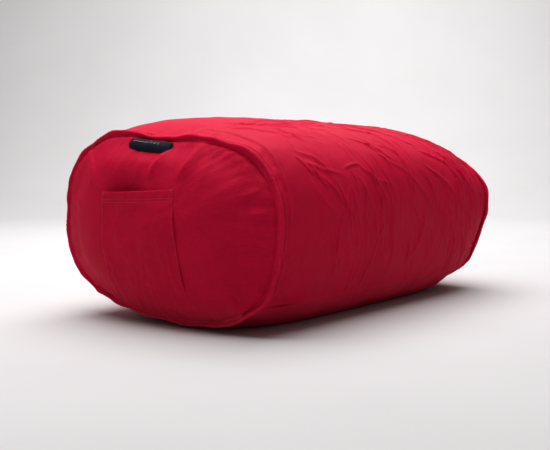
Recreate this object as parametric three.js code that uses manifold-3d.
// A stuffed bolster footstool: a barrel-shaped cloth cover with two piped, rounded end panels,
// a patch pocket and a folded label on one end, a lapped zip low on one side, and a liner bag
// of beads inside. Millimetres, +Z up. X runs along the length with the pocket end at -X, the
// zip side faces -Y, and the origin is on the floor under the middle.
import * as THREE from 'three';
import { mergeVertices } from 'three/addons/utils/BufferGeometryUtils.js';
import Module from 'manifold-3d';

const wasm = await Module();
wasm.setup();

// Driving dimensions: the stuffed body
const LENGTH = 680; // between the two piped seams
const END_WIDTH = 425;
const END_HEIGHT = 272;
const MID_WIDTH = 440;
const MID_HEIGHT = 334; // of the whole section, before the floor flattens its foot
const END_LIFT = 15; // how far the foot of each piped seam would clear the floor, unrolled
const TOP_SQUARENESS = 2.9; // superellipse powers of the section
const FOOT_SQUARENESS = 2.6;
const BULGE_POWER = 4.6;
const ROLL = 0.1; // the beads have slumped towards the zip side, in radians
const CROWN = 40; // how far each end panel domes out past its seam
const CROWN_POWER = 2.4;

// Driving dimensions: cloth and trim
const CLOTH = 1.2;
const CLEARANCE = 0.4; // between pieces that are sewn or lie together
const ALLOWANCE = 6; // seam allowance turned inwards
const PIPING_RADIUS = 3.1;
const PIPING_CLOTH = 0.7;
const PIPING_STAND = 1.1; // the bead stands this far clear of the seam
const PIPING_SLIT = 0.3; // between the sleeve's two sewn layers
const PIPING_SEAM_GAP = 0.3; // from either of them to the panel sewn to it
const SLEEVE_ARC = 0.36 * Math.PI; // how far below level the sleeve goes round its cord
const SEAM_DROP = 87; // wrap to base seam, below the middle of the section
const FLAP_WIDTH = 22;
const EDGE_FOLD = 0.0018; // thickness of a panel's turned-in edge, as a share of its width

// Driving dimensions: pocket and label
const POCKET_WIDTH = 148;
const POCKET_FOOT = 52;
const POCKET_TOP = 207;
const POCKET_SHIFT = 15; // the pocket's middle, towards +Y
const POCKET_FULLNESS = 10; // how far the mouth stands off the panel
const POCKET_SIDE_POWER = 4; // how quickly the pocket rises off its sewn sides
const POCKET_FOOT_POWER = 3; // and off its sewn foot
const LABEL_WIDTH = 88;
const LABEL_DROP = 21;
const LABEL_SHIFT = 29;
const LABEL_CLOTH = 0.8;
const LABEL_LOOP = 1.2; // space between the label's two layers
const LABEL_BELOW_SEAM = 8;

// Driving dimensions: zips
const ZIP_LENGTH = 460;
const LINER_ZIP_LENGTH = 240;
const ZIP_TAPE_WIDTH = 13;
const ZIP_TAPE_THICKNESS = 0.6;
const COIL_WIDTH = 2.6;
const COIL_HEIGHT = 2.2;
const COIL_GAP = 1.6; // the slider's post runs between the two coils
const SLIDER_LENGTH = 13;
const SLIDER_PLATE = 1;
const SLIDER_OVERHANG = 1.9; // of the slider's plates past the coils
const STOP_LENGTH = 3;

// Driving dimensions: the liner bag
const LINER_INSET = 12.5;
const LINER_CLOTH = 1;

// How finely the shapes are drawn
const WRAP_COLUMNS = 28;
const BASE_COLUMNS = 12;
const FLAP_COLUMNS = 4;
const FLAP_STATIONS = 8;
const POCKET_ROWS = 8;
const POCKET_COLUMNS = 12;
const ROUND_STEPS = 6; // round a piping's bead or a label's fold
const LINER_COLUMNS = 32;
const MOUTH_STEP = 3; // length over which the wrap's edge steps up to the zip's mouth
const STATIONS_NEAR_ENDS = [0.84, 0.94, 1]; // shares of half a panel's length
const STATIONS_IN_MIDDLE = [-0.5, -0.25, 0, 0.25, 0.5];
const DOME_RINGS = [0, 0.3, 0.52, 0.7, 0.83, 0.93, 1]; // shares from an end's middle to its seam
const DOME_INNER_RINGS = [0.985, 0.97, 0.86, 0.72, 0.52, 0.3, 0];
const LINER_DOME_RINGS = [0, 0.45, 0.75, 0.92, 1];
const LINER_STATIONS = [0.9, 0.7]; // shares of half its length, past its zip

// Worked out from them
const CENTRE_HEIGHT = END_HEIGHT / 2 + END_LIFT;
const SEAM_SIDE = PIPING_SLIT / 2 + PIPING_CLOTH + PIPING_SEAM_GAP; // seam's plane to panel
const COIL_SIDE = COIL_GAP / 2 + COIL_WIDTH;
const SLIDER_HALF_WIDTH = COIL_SIDE + SLIDER_OVERHANG;
const PANEL_END = LENGTH / 2 - SEAM_SIDE;
const ZIP_MOUTH = ZIP_LENGTH / 2 + SLIDER_LENGTH + STOP_LENGTH; // half the slot under the flap
const FULL_TURN = Math.PI * 2;

const CANVAS_RED = { color: 0xb3122b, roughness: 0.9 };
const PIPING_RED = { color: 0xa51026, roughness: 0.9 };
const NAVY = { color: 0x252835, roughness: 0.85 };
const CORD_WHITE = { color: 0xe8e4da, roughness: 0.9 };
const ZIP_RED = { color: 0x8a1022, roughness: 0.8 };
const ZIP_NYLON = { color: 0x7a0f1e, roughness: 0.4 };
const SLIDER_METAL = { color: 0x8c8c90, roughness: 0.35, metalness: 0.9 };
const LINER_WHITE = { color: 0xe6e6e2, roughness: 0.9 };
const BEAD_WHITE = { color: 0xf4f4f2, roughness: 0.8 };

const model = new THREE.Group();

// --- Helpers ---------------------------------------------------------------------------------

function range(count, from, to) {
  return Array.from({ length: count + 1 }, (_, i) => from + ((to - from) * i) / count);
}

function signedPower(value, power) {
  return Math.sign(value) * Math.abs(value) ** power;
}

// Joins vertices that fall together and drops the triangles that this flattens.
function weld(points, triangles) {
  const places = new Map();
  const positions = [];
  const index = points.map((point) => {
    const key = point.toArray().map((value) => Math.round(value * 1e4)).join();
    if (!places.has(key)) {
      places.set(key, positions.length / 3);
      positions.push(...point.toArray());
    }
    return places.get(key);
  });
  const faces = triangles
    .map((triangle) => triangle.map((corner) => index[corner]))
    .filter(([a, b, c]) => a !== b && b !== c && c !== a);
  return { positions, faces };
}

function signedVolume({ positions, faces }) {
  const corner = (i) => new THREE.Vector3().fromArray(positions, 3 * i);
  return faces.reduce((sum, [a, b, c]) => sum + corner(a).dot(corner(b).cross(corner(c))), 0);
}

function closedGeometry(points, triangles) {
  const body = weld(points, triangles);
  if (signedVolume(body) < 0) body.faces.forEach((face) => face.reverse());
  const geometry = new THREE.BufferGeometry();
  geometry.setAttribute('position', new THREE.Float32BufferAttribute(body.positions, 3));
  geometry.setIndex(body.faces.flat());
  geometry.computeVertexNormals();
  return geometry;
}

// Carries a closed outline of [a, b] points through the stations: place(a, b, station) gives
// each vertex. A ring's last station joins its first; otherwise the two ends are capped.
function sweep(outline, stations, place, isRing) {
  const around = outline.length;
  const points = stations.flatMap((station) => outline.map(([a, b]) => place(a, b, station)));
  const triangles = [];
  const spans = isRing ? stations.length : stations.length - 1;
  for (let j = 0; j < spans; j += 1) {
    const here = j * around;
    const next = ((j + 1) % stations.length) * around;
    for (let i = 0; i < around; i += 1) {
      const i2 = (i + 1) % around;
      triangles.push([here + i, here + i2, next + i2], [here + i, next + i2, next + i]);
    }
  }
  if (!isRing) {
    const flat = outline.map(([a, b]) => new THREE.Vector2(a, b));
    const cap = THREE.ShapeUtils.triangulateShape(flat, []);
    const last = (stations.length - 1) * around;
    const turned = THREE.ShapeUtils.isClockWise(flat);
    cap.forEach(([a, b, c]) => {
      const [p, q, r] = turned ? [a, c, b] : [a, b, c];
      triangles.push([r, q, p], [last + p, last + q, last + r]);
    });
  }
  return closedGeometry(points, triangles);
}

function addPart(name, geometry, look, parent = model) {
  const mesh = new THREE.Mesh(geometry, new THREE.MeshStandardMaterial(look));
  mesh.name = name;
  parent.add(mesh);
  return mesh;
}

function toManifold(geometry) {
  const bare = geometry.clone();
  bare.deleteAttribute('normal');
  bare.deleteAttribute('uv');
  const merged = mergeVertices(bare);
  return new wasm.Manifold(
    new wasm.Mesh({
      numProp: 3,
      vertProperties: merged.attributes.position.array,
      triVerts: new Uint32Array(merged.index.array),
    }),
  );
}

function fromManifold(solid) {
  const { vertProperties, triVerts } = solid.getMesh();
  const geometry = new THREE.BufferGeometry();
  geometry.setAttribute('position', new THREE.BufferAttribute(vertProperties, 3));
  geometry.setIndex(new THREE.BufferAttribute(triVerts, 1));
  geometry.computeVertexNormals();
  return geometry;
}

// --- The stuffed body's surface --------------------------------------------------------------

// Half width and half height of the section at x, fullest in the middle.
function halfSizes(x) {
  const fullness = 1 - Math.min(1, Math.abs((2 * x) / LENGTH)) ** BULGE_POWER;
  return {
    halfWidth: THREE.MathUtils.lerp(END_WIDTH, MID_WIDTH, fullness) / 2,
    halfHeight: THREE.MathUtils.lerp(END_HEIGHT, MID_HEIGHT, fullness) / 2,
  };
}

function squareness(height) {
  return height < 0 ? FOOT_SQUARENESS : TOP_SQUARENESS;
}

// Rolls a point of the upright section, lifts it to its height and rests it on the floor.
function settle(x, across, above, floor) {
  const y = across * Math.cos(ROLL) - above * Math.sin(ROLL);
  const z = across * Math.sin(ROLL) + above * Math.cos(ROLL) + CENTRE_HEIGHT;
  return new THREE.Vector3(x, y, Math.max(z, floor));
}

// A point of the section at x, at angle t from +Y, sunk inset into the body. share 0 to 1 draws
// it in towards the section's middle.
function skin(x, t, inset, share = 1) {
  const { halfWidth, halfHeight } = halfSizes(x);
  const power = 2 / squareness(Math.sin(t));
  const across = (halfWidth - inset) * signedPower(Math.cos(t), power);
  const above = (halfHeight - inset) * signedPower(Math.sin(t), power);
  return settle(x, share * across, share * above, inset);
}

// The angle at which the section at x lies drop below its middle, counted from the -Y side.
function angleAtDrop(x, drop) {
  const { halfHeight } = halfSizes(x);
  return Math.asin((drop / halfHeight) ** (FOOT_SQUARENESS / 2));
}

// The angles round a piped seam: those of the wrap's columns, then of the base's.
function seamAngles() {
  const edge = angleAtDrop(LENGTH / 2, SEAM_DROP);
  return [
    ...range(WRAP_COLUMNS, -edge, Math.PI + edge).slice(0, -1),
    ...range(BASE_COLUMNS, Math.PI + edge, FULL_TURN - edge).slice(0, -1),
  ];
}

// The angle at which the cover's zip lies in the section at x: behind the middle of its flap.
function zipAngle(x, below = 0) {
  return Math.PI + angleAtDrop(x, SEAM_DROP - FLAP_WIDTH / 2 + below);
}

function zipOutwards() {
  const above = skin(0, zipAngle(0, -FLAP_WIDTH / 2), 0);
  const below = skin(0, zipAngle(0, FLAP_WIDTH / 2), 0);
  return new THREE.Vector3(1, 0, 0).cross(above.sub(below)).normalize();
}

// The zip is straight, so on a body that narrows between the zip's two ends it lies deeper.
function zipSink() {
  const standsOut = (x) => skin(x, zipAngle(x), 0).dot(zipOutwards());
  return Math.max(0, standsOut(ZIP_MOUTH) - standsOut(0));
}

// How far the end dome stands out at a share of the way from its middle to its seam.
function dome(share) {
  return CROWN * (1 - Math.min(1, share) ** CROWN_POWER);
}

// The outer face of the pocket end at world y, z: how far it lies past the seam's plane.
function pocketEndDepth(y, z) {
  const across = y * Math.cos(ROLL) + (z - CENTRE_HEIGHT) * Math.sin(ROLL);
  const above = (z - CENTRE_HEIGHT) * Math.cos(ROLL) - y * Math.sin(ROLL);
  const power = squareness(above);
  const share = (Math.abs((2 * across) / END_WIDTH) ** power
    + Math.abs((2 * above) / END_HEIGHT) ** power) ** (1 / power);
  return SEAM_SIDE + CLOTH + dome(share);
}

// --- Cover panels ----------------------------------------------------------------------------

const plainEndStations = [ZIP_MOUTH, ZIP_MOUTH + MOUTH_STEP].concat(
  STATIONS_NEAR_ENDS.map((share) => share * PANEL_END),
);
const panelStations = [
  ...plainEndStations.slice().reverse().map((x) => -x),
  ...STATIONS_IN_MIDDLE.map((share) => share * PANEL_END),
  ...plainEndStations,
];

// A cloth ribbon's outline as [share of the way across, inset], with both edges turned in.
function ribbonOutline(columns) {
  const shares = range(columns, 0, 1);
  const inner = shares.slice(1, -1).reverse().map((share) => [share, CLOTH]);
  return [
    ...shares.map((share) => [share, 0]),
    [1, ALLOWANCE],
    [1 - EDGE_FOLD, ALLOWANCE],
    [1 - EDGE_FOLD, CLOTH],
    ...inner,
    [EDGE_FOLD, CLOTH],
    [EDGE_FOLD, ALLOWANCE],
    [0, ALLOWANCE],
  ];
}

function addWrapPanel() {
  const place = (share, inset, x) => {
    const inMouth = Math.abs(x) <= ZIP_MOUTH;
    const zipEdge = SEAM_DROP - CLEARANCE / 2 - (inMouth ? FLAP_WIDTH : 0);
    const from = -angleAtDrop(x, SEAM_DROP - CLEARANCE / 2);
    const to = Math.PI + angleAtDrop(x, zipEdge);
    return skin(x, THREE.MathUtils.lerp(from, to, share), inset);
  };
  const outline = ribbonOutline(WRAP_COLUMNS);
  addPart('wrap_panel', sweep(outline, panelStations, place, false), CANVAS_RED);
}

function addBasePanel() {
  const place = (share, inset, x) => {
    const edge = angleAtDrop(x, SEAM_DROP + CLEARANCE / 2);
    return skin(x, THREE.MathUtils.lerp(Math.PI + edge, FULL_TURN - edge, share), inset);
  };
  const outline = ribbonOutline(BASE_COLUMNS);
  addPart('base_panel', sweep(outline, panelStations, place, false), CANVAS_RED);
}

// side is -1 for the pocket end and +1 for the plain end. The outline is [how far out, share].
function addEndPanel(name, side) {
  const rimOut = SEAM_SIDE + CLOTH;
  const turnIn = 1 - (2 * ALLOWANCE) / END_HEIGHT;
  const outline = [
    ...DOME_RINGS.map((share) => [rimOut + dome(share), share]),
    [SEAM_SIDE, 1],
    [SEAM_SIDE, turnIn],
    [rimOut, turnIn],
    ...DOME_INNER_RINGS.map((share) => [Math.max(rimOut, rimOut + dome(share) - CLOTH), share]),
  ];
  const place = (out, share, t) => {
    const point = skin((side * LENGTH) / 2, t, 0, share);
    return point.setX(side * (LENGTH / 2 + out));
  };
  addPart(name, sweep(outline, seamAngles(), place, true), CANVAS_RED);
}

// --- Piping: a folded bias sleeve with its two sewn layers turned in, round a cord -----------

// A point at (along x, outset) in the seam's own section, carried round the seam.
function placeOnSeam(side) {
  return (along, outset, t) => skin((side * LENGTH) / 2, t, -outset).add(
    new THREE.Vector3(side * along, 0, 0),
  );
}

function addPiping(name, side) {
  const centre = PIPING_RADIUS + PIPING_STAND;
  const layerGap = PIPING_SLIT / 2;
  const outer = range(ROUND_STEPS, -SLEEVE_ARC, Math.PI + SLEEVE_ARC);
  const inner = outer.slice().reverse();
  const ringPoint = (radius, angle) => [radius * Math.cos(angle), centre + radius * Math.sin(angle)];
  const sleeve = [
    [layerGap + PIPING_CLOTH, -ALLOWANCE],
    [layerGap + PIPING_CLOTH, 0],
    ...outer.map((angle) => ringPoint(PIPING_RADIUS, angle)),
    [-layerGap - PIPING_CLOTH, 0],
    [-layerGap - PIPING_CLOTH, -ALLOWANCE],
    [-layerGap, -ALLOWANCE],
    [-layerGap, PIPING_CLOTH],
    ...inner.map((angle) => ringPoint(PIPING_RADIUS - PIPING_CLOTH, angle)),
    [layerGap, PIPING_CLOTH],
    [layerGap, -ALLOWANCE],
  ];
  const cordRadius = PIPING_RADIUS - PIPING_CLOTH - CLEARANCE;
  const cord = range(ROUND_STEPS, 0, FULL_TURN).slice(0, -1).map((angle) => ringPoint(cordRadius, angle));
  const place = placeOnSeam(side);
  addPart(`${name}_cover`, sweep(sleeve, seamAngles(), place, true), PIPING_RED);
  addPart(`${name}_cord`, sweep(cord, seamAngles(), place, true), CORD_WHITE);
}

// --- Pocket and label ------------------------------------------------------------------------

// How far the pocket stands off the panel: sewn down at its sides and foot, full at its mouth.
function pocketStandOff(acrossShare, upShare) {
  const sides = 1 - Math.abs(2 * acrossShare - 1) ** POCKET_SIDE_POWER;
  const rise = 1 - (1 - upShare) ** POCKET_FOOT_POWER;
  return CLEARANCE + POCKET_FULLNESS * sides * rise;
}

function addPocket() {
  const rows = range(POCKET_ROWS, 0, 1);
  const columns = range(POCKET_COLUMNS, 0, 1);
  const outline = [
    ...rows.map((up) => [up, CLOTH]),
    ...rows.slice().reverse().map((up) => [up, 0]),
  ];
  const place = (up, thickness, across) => {
    const y = POCKET_SHIFT + (across - 0.5) * POCKET_WIDTH;
    const z = THREE.MathUtils.lerp(POCKET_FOOT, POCKET_TOP, up);
    const out = pocketEndDepth(y, z) + pocketStandOff(across, up) + thickness;
    return new THREE.Vector3(-LENGTH / 2 - out, y, z);
  };
  addPart('pocket', sweep(outline, columns, place, false), CANVAS_RED);
}

// A frame whose X runs along the given line, Z points outwards and Y completes it.
function frameAlong(start, end, outwards) {
  const along = end.clone().sub(start).normalize();
  const across = outwards.clone().cross(along).normalize();
  const normal = along.clone().cross(across);
  const frame = new THREE.Group();
  frame.setRotationFromMatrix(new THREE.Matrix4().makeBasis(along, across, normal));
  frame.position.copy(start).lerp(end, 0.5);
  model.add(frame);
  return frame;
}

// An outline in a frame's Y and Z, carried along its X from one place to another.
function prism(outline, from, to) {
  return sweep(outline, [from, to], (y, z, x) => new THREE.Vector3(x, y, z), false);
}

function rectangle(y0, y1, z0, z1) {
  return [[y0, z0], [y1, z0], [y1, z1], [y0, z1]];
}

// The pocket end's outer face at a place in its own upright section.
function onPocketEnd(across, above) {
  const point = settle(0, across, above, 0);
  return point.setX(-LENGTH / 2 - pocketEndDepth(point.y, point.z));
}

// A folded loop of tape: two layers hanging from the seam and joined by a round fold below.
function addLabel() {
  const top = END_HEIGHT / 2 - LABEL_BELOW_SEAM;
  const left = onPocketEnd(LABEL_SHIFT + LABEL_WIDTH / 2, top);
  const right = onPocketEnd(LABEL_SHIFT - LABEL_WIDTH / 2, top);
  const foot = onPocketEnd(LABEL_SHIFT, top - LABEL_DROP);
  const down = foot.sub(left.clone().lerp(right, 0.5)).normalize();
  const along = right.clone().sub(left).normalize();
  const frame = frameAlong(left, right, along.cross(down).negate());
  const back = CLEARANCE * 2;
  const depth = LABEL_LOOP + 2 * LABEL_CLOTH;
  const foldCentre = [-LABEL_DROP + depth / 2, back + depth / 2];
  const halfRound = (radius, angles) => angles.map((angle) => [
    foldCentre[0] - radius * Math.cos(angle),
    foldCentre[1] + radius * Math.sin(angle),
  ]);
  const outline = [
    [0, back],
    ...halfRound(depth / 2, range(ROUND_STEPS, -Math.PI / 2, Math.PI / 2)),
    [0, back + depth],
    [0, back + depth - LABEL_CLOTH],
    ...halfRound(LABEL_LOOP / 2, range(ROUND_STEPS, Math.PI / 2, -Math.PI / 2)),
    [0, back + LABEL_CLOTH],
  ];
  addPart('label', prism(outline, -LABEL_WIDTH / 2, LABEL_WIDTH / 2), NAVY, frame);
}

// --- Zips ------------------------------------------------------------------------------------

// In a zip's frame Y is across it, Z is outwards, and the tape's back face is at Z 0.
function addZip(name, frame, length) {
  const half = length / 2;
  const sliderSpace = SLIDER_LENGTH + CLEARANCE;
  const coilFoot = ZIP_TAPE_THICKNESS + CLEARANCE / 2;
  const coilTop = coilFoot + COIL_HEIGHT;
  [['upper', 1], ['lower', -1]].forEach(([place, side]) => {
    const tapeEdges = [side * (COIL_GAP / 2), side * (COIL_GAP / 2 + ZIP_TAPE_WIDTH)];
    const coilEdges = [side * (COIL_GAP / 2), side * COIL_SIDE];
    const tape = rectangle(Math.min(...tapeEdges), Math.max(...tapeEdges), 0, ZIP_TAPE_THICKNESS);
    const coil = rectangle(Math.min(...coilEdges), Math.max(...coilEdges), coilFoot, coilTop);
    addPart(`${name}_tape_${place}`, prism(tape, -half - sliderSpace, half), ZIP_RED, frame);
    addPart(`${name}_coil_${place}`, prism(coil, -half, half), ZIP_NYLON, frame);
  });
  const top = coilTop + CLEARANCE;
  const post = COIL_GAP / 2 - CLEARANCE;
  const foot = -CLEARANCE;
  const lip = COIL_SIDE + CLEARANCE;
  const slider = [
    [-SLIDER_HALF_WIDTH, foot - SLIDER_PLATE],
    [SLIDER_HALF_WIDTH, foot - SLIDER_PLATE],
    [SLIDER_HALF_WIDTH, foot],
    [post, foot],
    [post, top],
    [lip, top],
    [lip, coilFoot + CLEARANCE],
    [SLIDER_HALF_WIDTH, coilFoot + CLEARANCE],
    [SLIDER_HALF_WIDTH, top + SLIDER_PLATE],
    [-SLIDER_HALF_WIDTH, top + SLIDER_PLATE],
    [-SLIDER_HALF_WIDTH, coilFoot + CLEARANCE],
    [-lip, coilFoot + CLEARANCE],
    [-lip, top],
    [-post, top],
    [-post, foot],
    [-SLIDER_HALF_WIDTH, foot],
  ];
  const parked = -half - CLEARANCE;
  addPart(`${name}_slider`, prism(slider, parked - SLIDER_LENGTH, parked), SLIDER_METAL, frame);
  const stop = rectangle(-COIL_SIDE, COIL_SIDE, coilFoot, coilTop);
  const endStop = half + CLEARANCE;
  addPart(`${name}_stop`, prism(stop, endStop, endStop + STOP_LENGTH), SLIDER_METAL, frame);
}

// The cover's zip lies behind the flap, on the turned-in edges of the wrap and base panels.
function addCoverZip() {
  const behind = ALLOWANCE + 3 * CLEARANCE + ZIP_TAPE_THICKNESS;
  const outwards = zipOutwards();
  const [start, end] = [-ZIP_MOUTH, ZIP_MOUTH].map(
    (x) => skin(x, zipAngle(x), behind).addScaledVector(outwards, -zipSink()),
  );
  addZip('zip', frameAlong(start, end, outwards), ZIP_LENGTH);
}

// The flap is a strip of the cover's own cloth that hangs over the zip from its upper edge.
function addFlap() {
  const columns = range(FLAP_COLUMNS, 0, 1);
  const halfLength = ZIP_MOUTH - CLEARANCE;
  const outline = [
    ...columns.map((share) => [share, 0]),
    ...columns.slice().reverse().map((share) => [share, CLOTH]),
  ];
  const place = (share, inset, x) => {
    const drop = THREE.MathUtils.lerp(
      SEAM_DROP - FLAP_WIDTH + CLEARANCE,
      SEAM_DROP - CLEARANCE,
      share,
    );
    return skin(x, Math.PI + angleAtDrop(x, drop), inset);
  };
  const stations = range(FLAP_STATIONS, -halfLength, halfLength);
  addPart('zip_flap', sweep(outline, stations, place, false), CANVAS_RED);
}

// --- Liner bag and beads ---------------------------------------------------------------------

// The stuffed body's whole shape, domed ends included, sunk inset into it.
function barrel(inset) {
  const endPlane = LENGTH / 2 - inset / 2;
  const end = LINER_DOME_RINGS.map((share) => [endPlane + dome(share) - inset / 2, share]);
  const zipEnd = LINER_ZIP_LENGTH / 2 + SLIDER_LENGTH;
  const stations = [...LINER_STATIONS.map((share) => share * endPlane), zipEnd, 0];
  const body = stations.map((x) => [x, 1]);
  const half = [...end, ...body];
  const outline = [
    ...half,
    ...half.slice(0, -1).reverse().map(([out, share]) => [-out, share]),
  ];
  const place = (x, share, t) => {
    const inBody = THREE.MathUtils.clamp(x, -LENGTH / 2, LENGTH / 2);
    return skin(inBody, t, inset, share).setX(x);
  };
  const around = range(LINER_COLUMNS, 0, FULL_TURN).slice(0, -1);
  return sweep(outline, around, place, true);
}

function addLinerAndBeads() {
  const inset = LINER_INSET + zipSink();
  const outer = toManifold(barrel(inset));
  const inner = toManifold(barrel(inset + LINER_CLOTH));
  const slotLength = LINER_ZIP_LENGTH + 2 * (SLIDER_LENGTH + STOP_LENGTH);
  const slotDepth = 6 * LINER_INSET; // well past the bag's cloth on either side of it
  const slotHeight = 2 * (SLIDER_HALF_WIDTH + CLEARANCE);
  const slot = new THREE.BoxGeometry(slotLength, slotDepth, slotHeight);
  const middle = skin(0, Math.PI, inset);
  slot.translate(0, middle.y, middle.z);
  const liner = outer.subtract(inner).subtract(toManifold(slot));
  addPart('liner_bag', fromManifold(liner), LINER_WHITE);
  addPart('bead_fill', barrel(inset + LINER_CLOTH + CLEARANCE), BEAD_WHITE);
}

// The liner's own zip closes a slot half way up the bag's -Y side.
function addLinerZip() {
  const half = LINER_ZIP_LENGTH / 2;
  const lift = LINER_INSET + zipSink() - CLEARANCE;
  const start = skin(-half, Math.PI, lift);
  const end = skin(half, Math.PI, lift);
  const outwards = skin(0, Math.PI, 0).sub(skin(0, 0, 0));
  addZip('liner_zip', frameAlong(start, end, outwards), LINER_ZIP_LENGTH);
}

// --- Assembly --------------------------------------------------------------------------------

addWrapPanel();
addBasePanel();
addEndPanel('pocket_end_panel', -1);
addEndPanel('plain_end_panel', 1);
addPiping('pocket_end_piping', -1);
addPiping('plain_end_piping', 1);
addPocket();
addLabel();
addFlap();
addCoverZip();
addLinerAndBeads();
addLinerZip();

export default model;
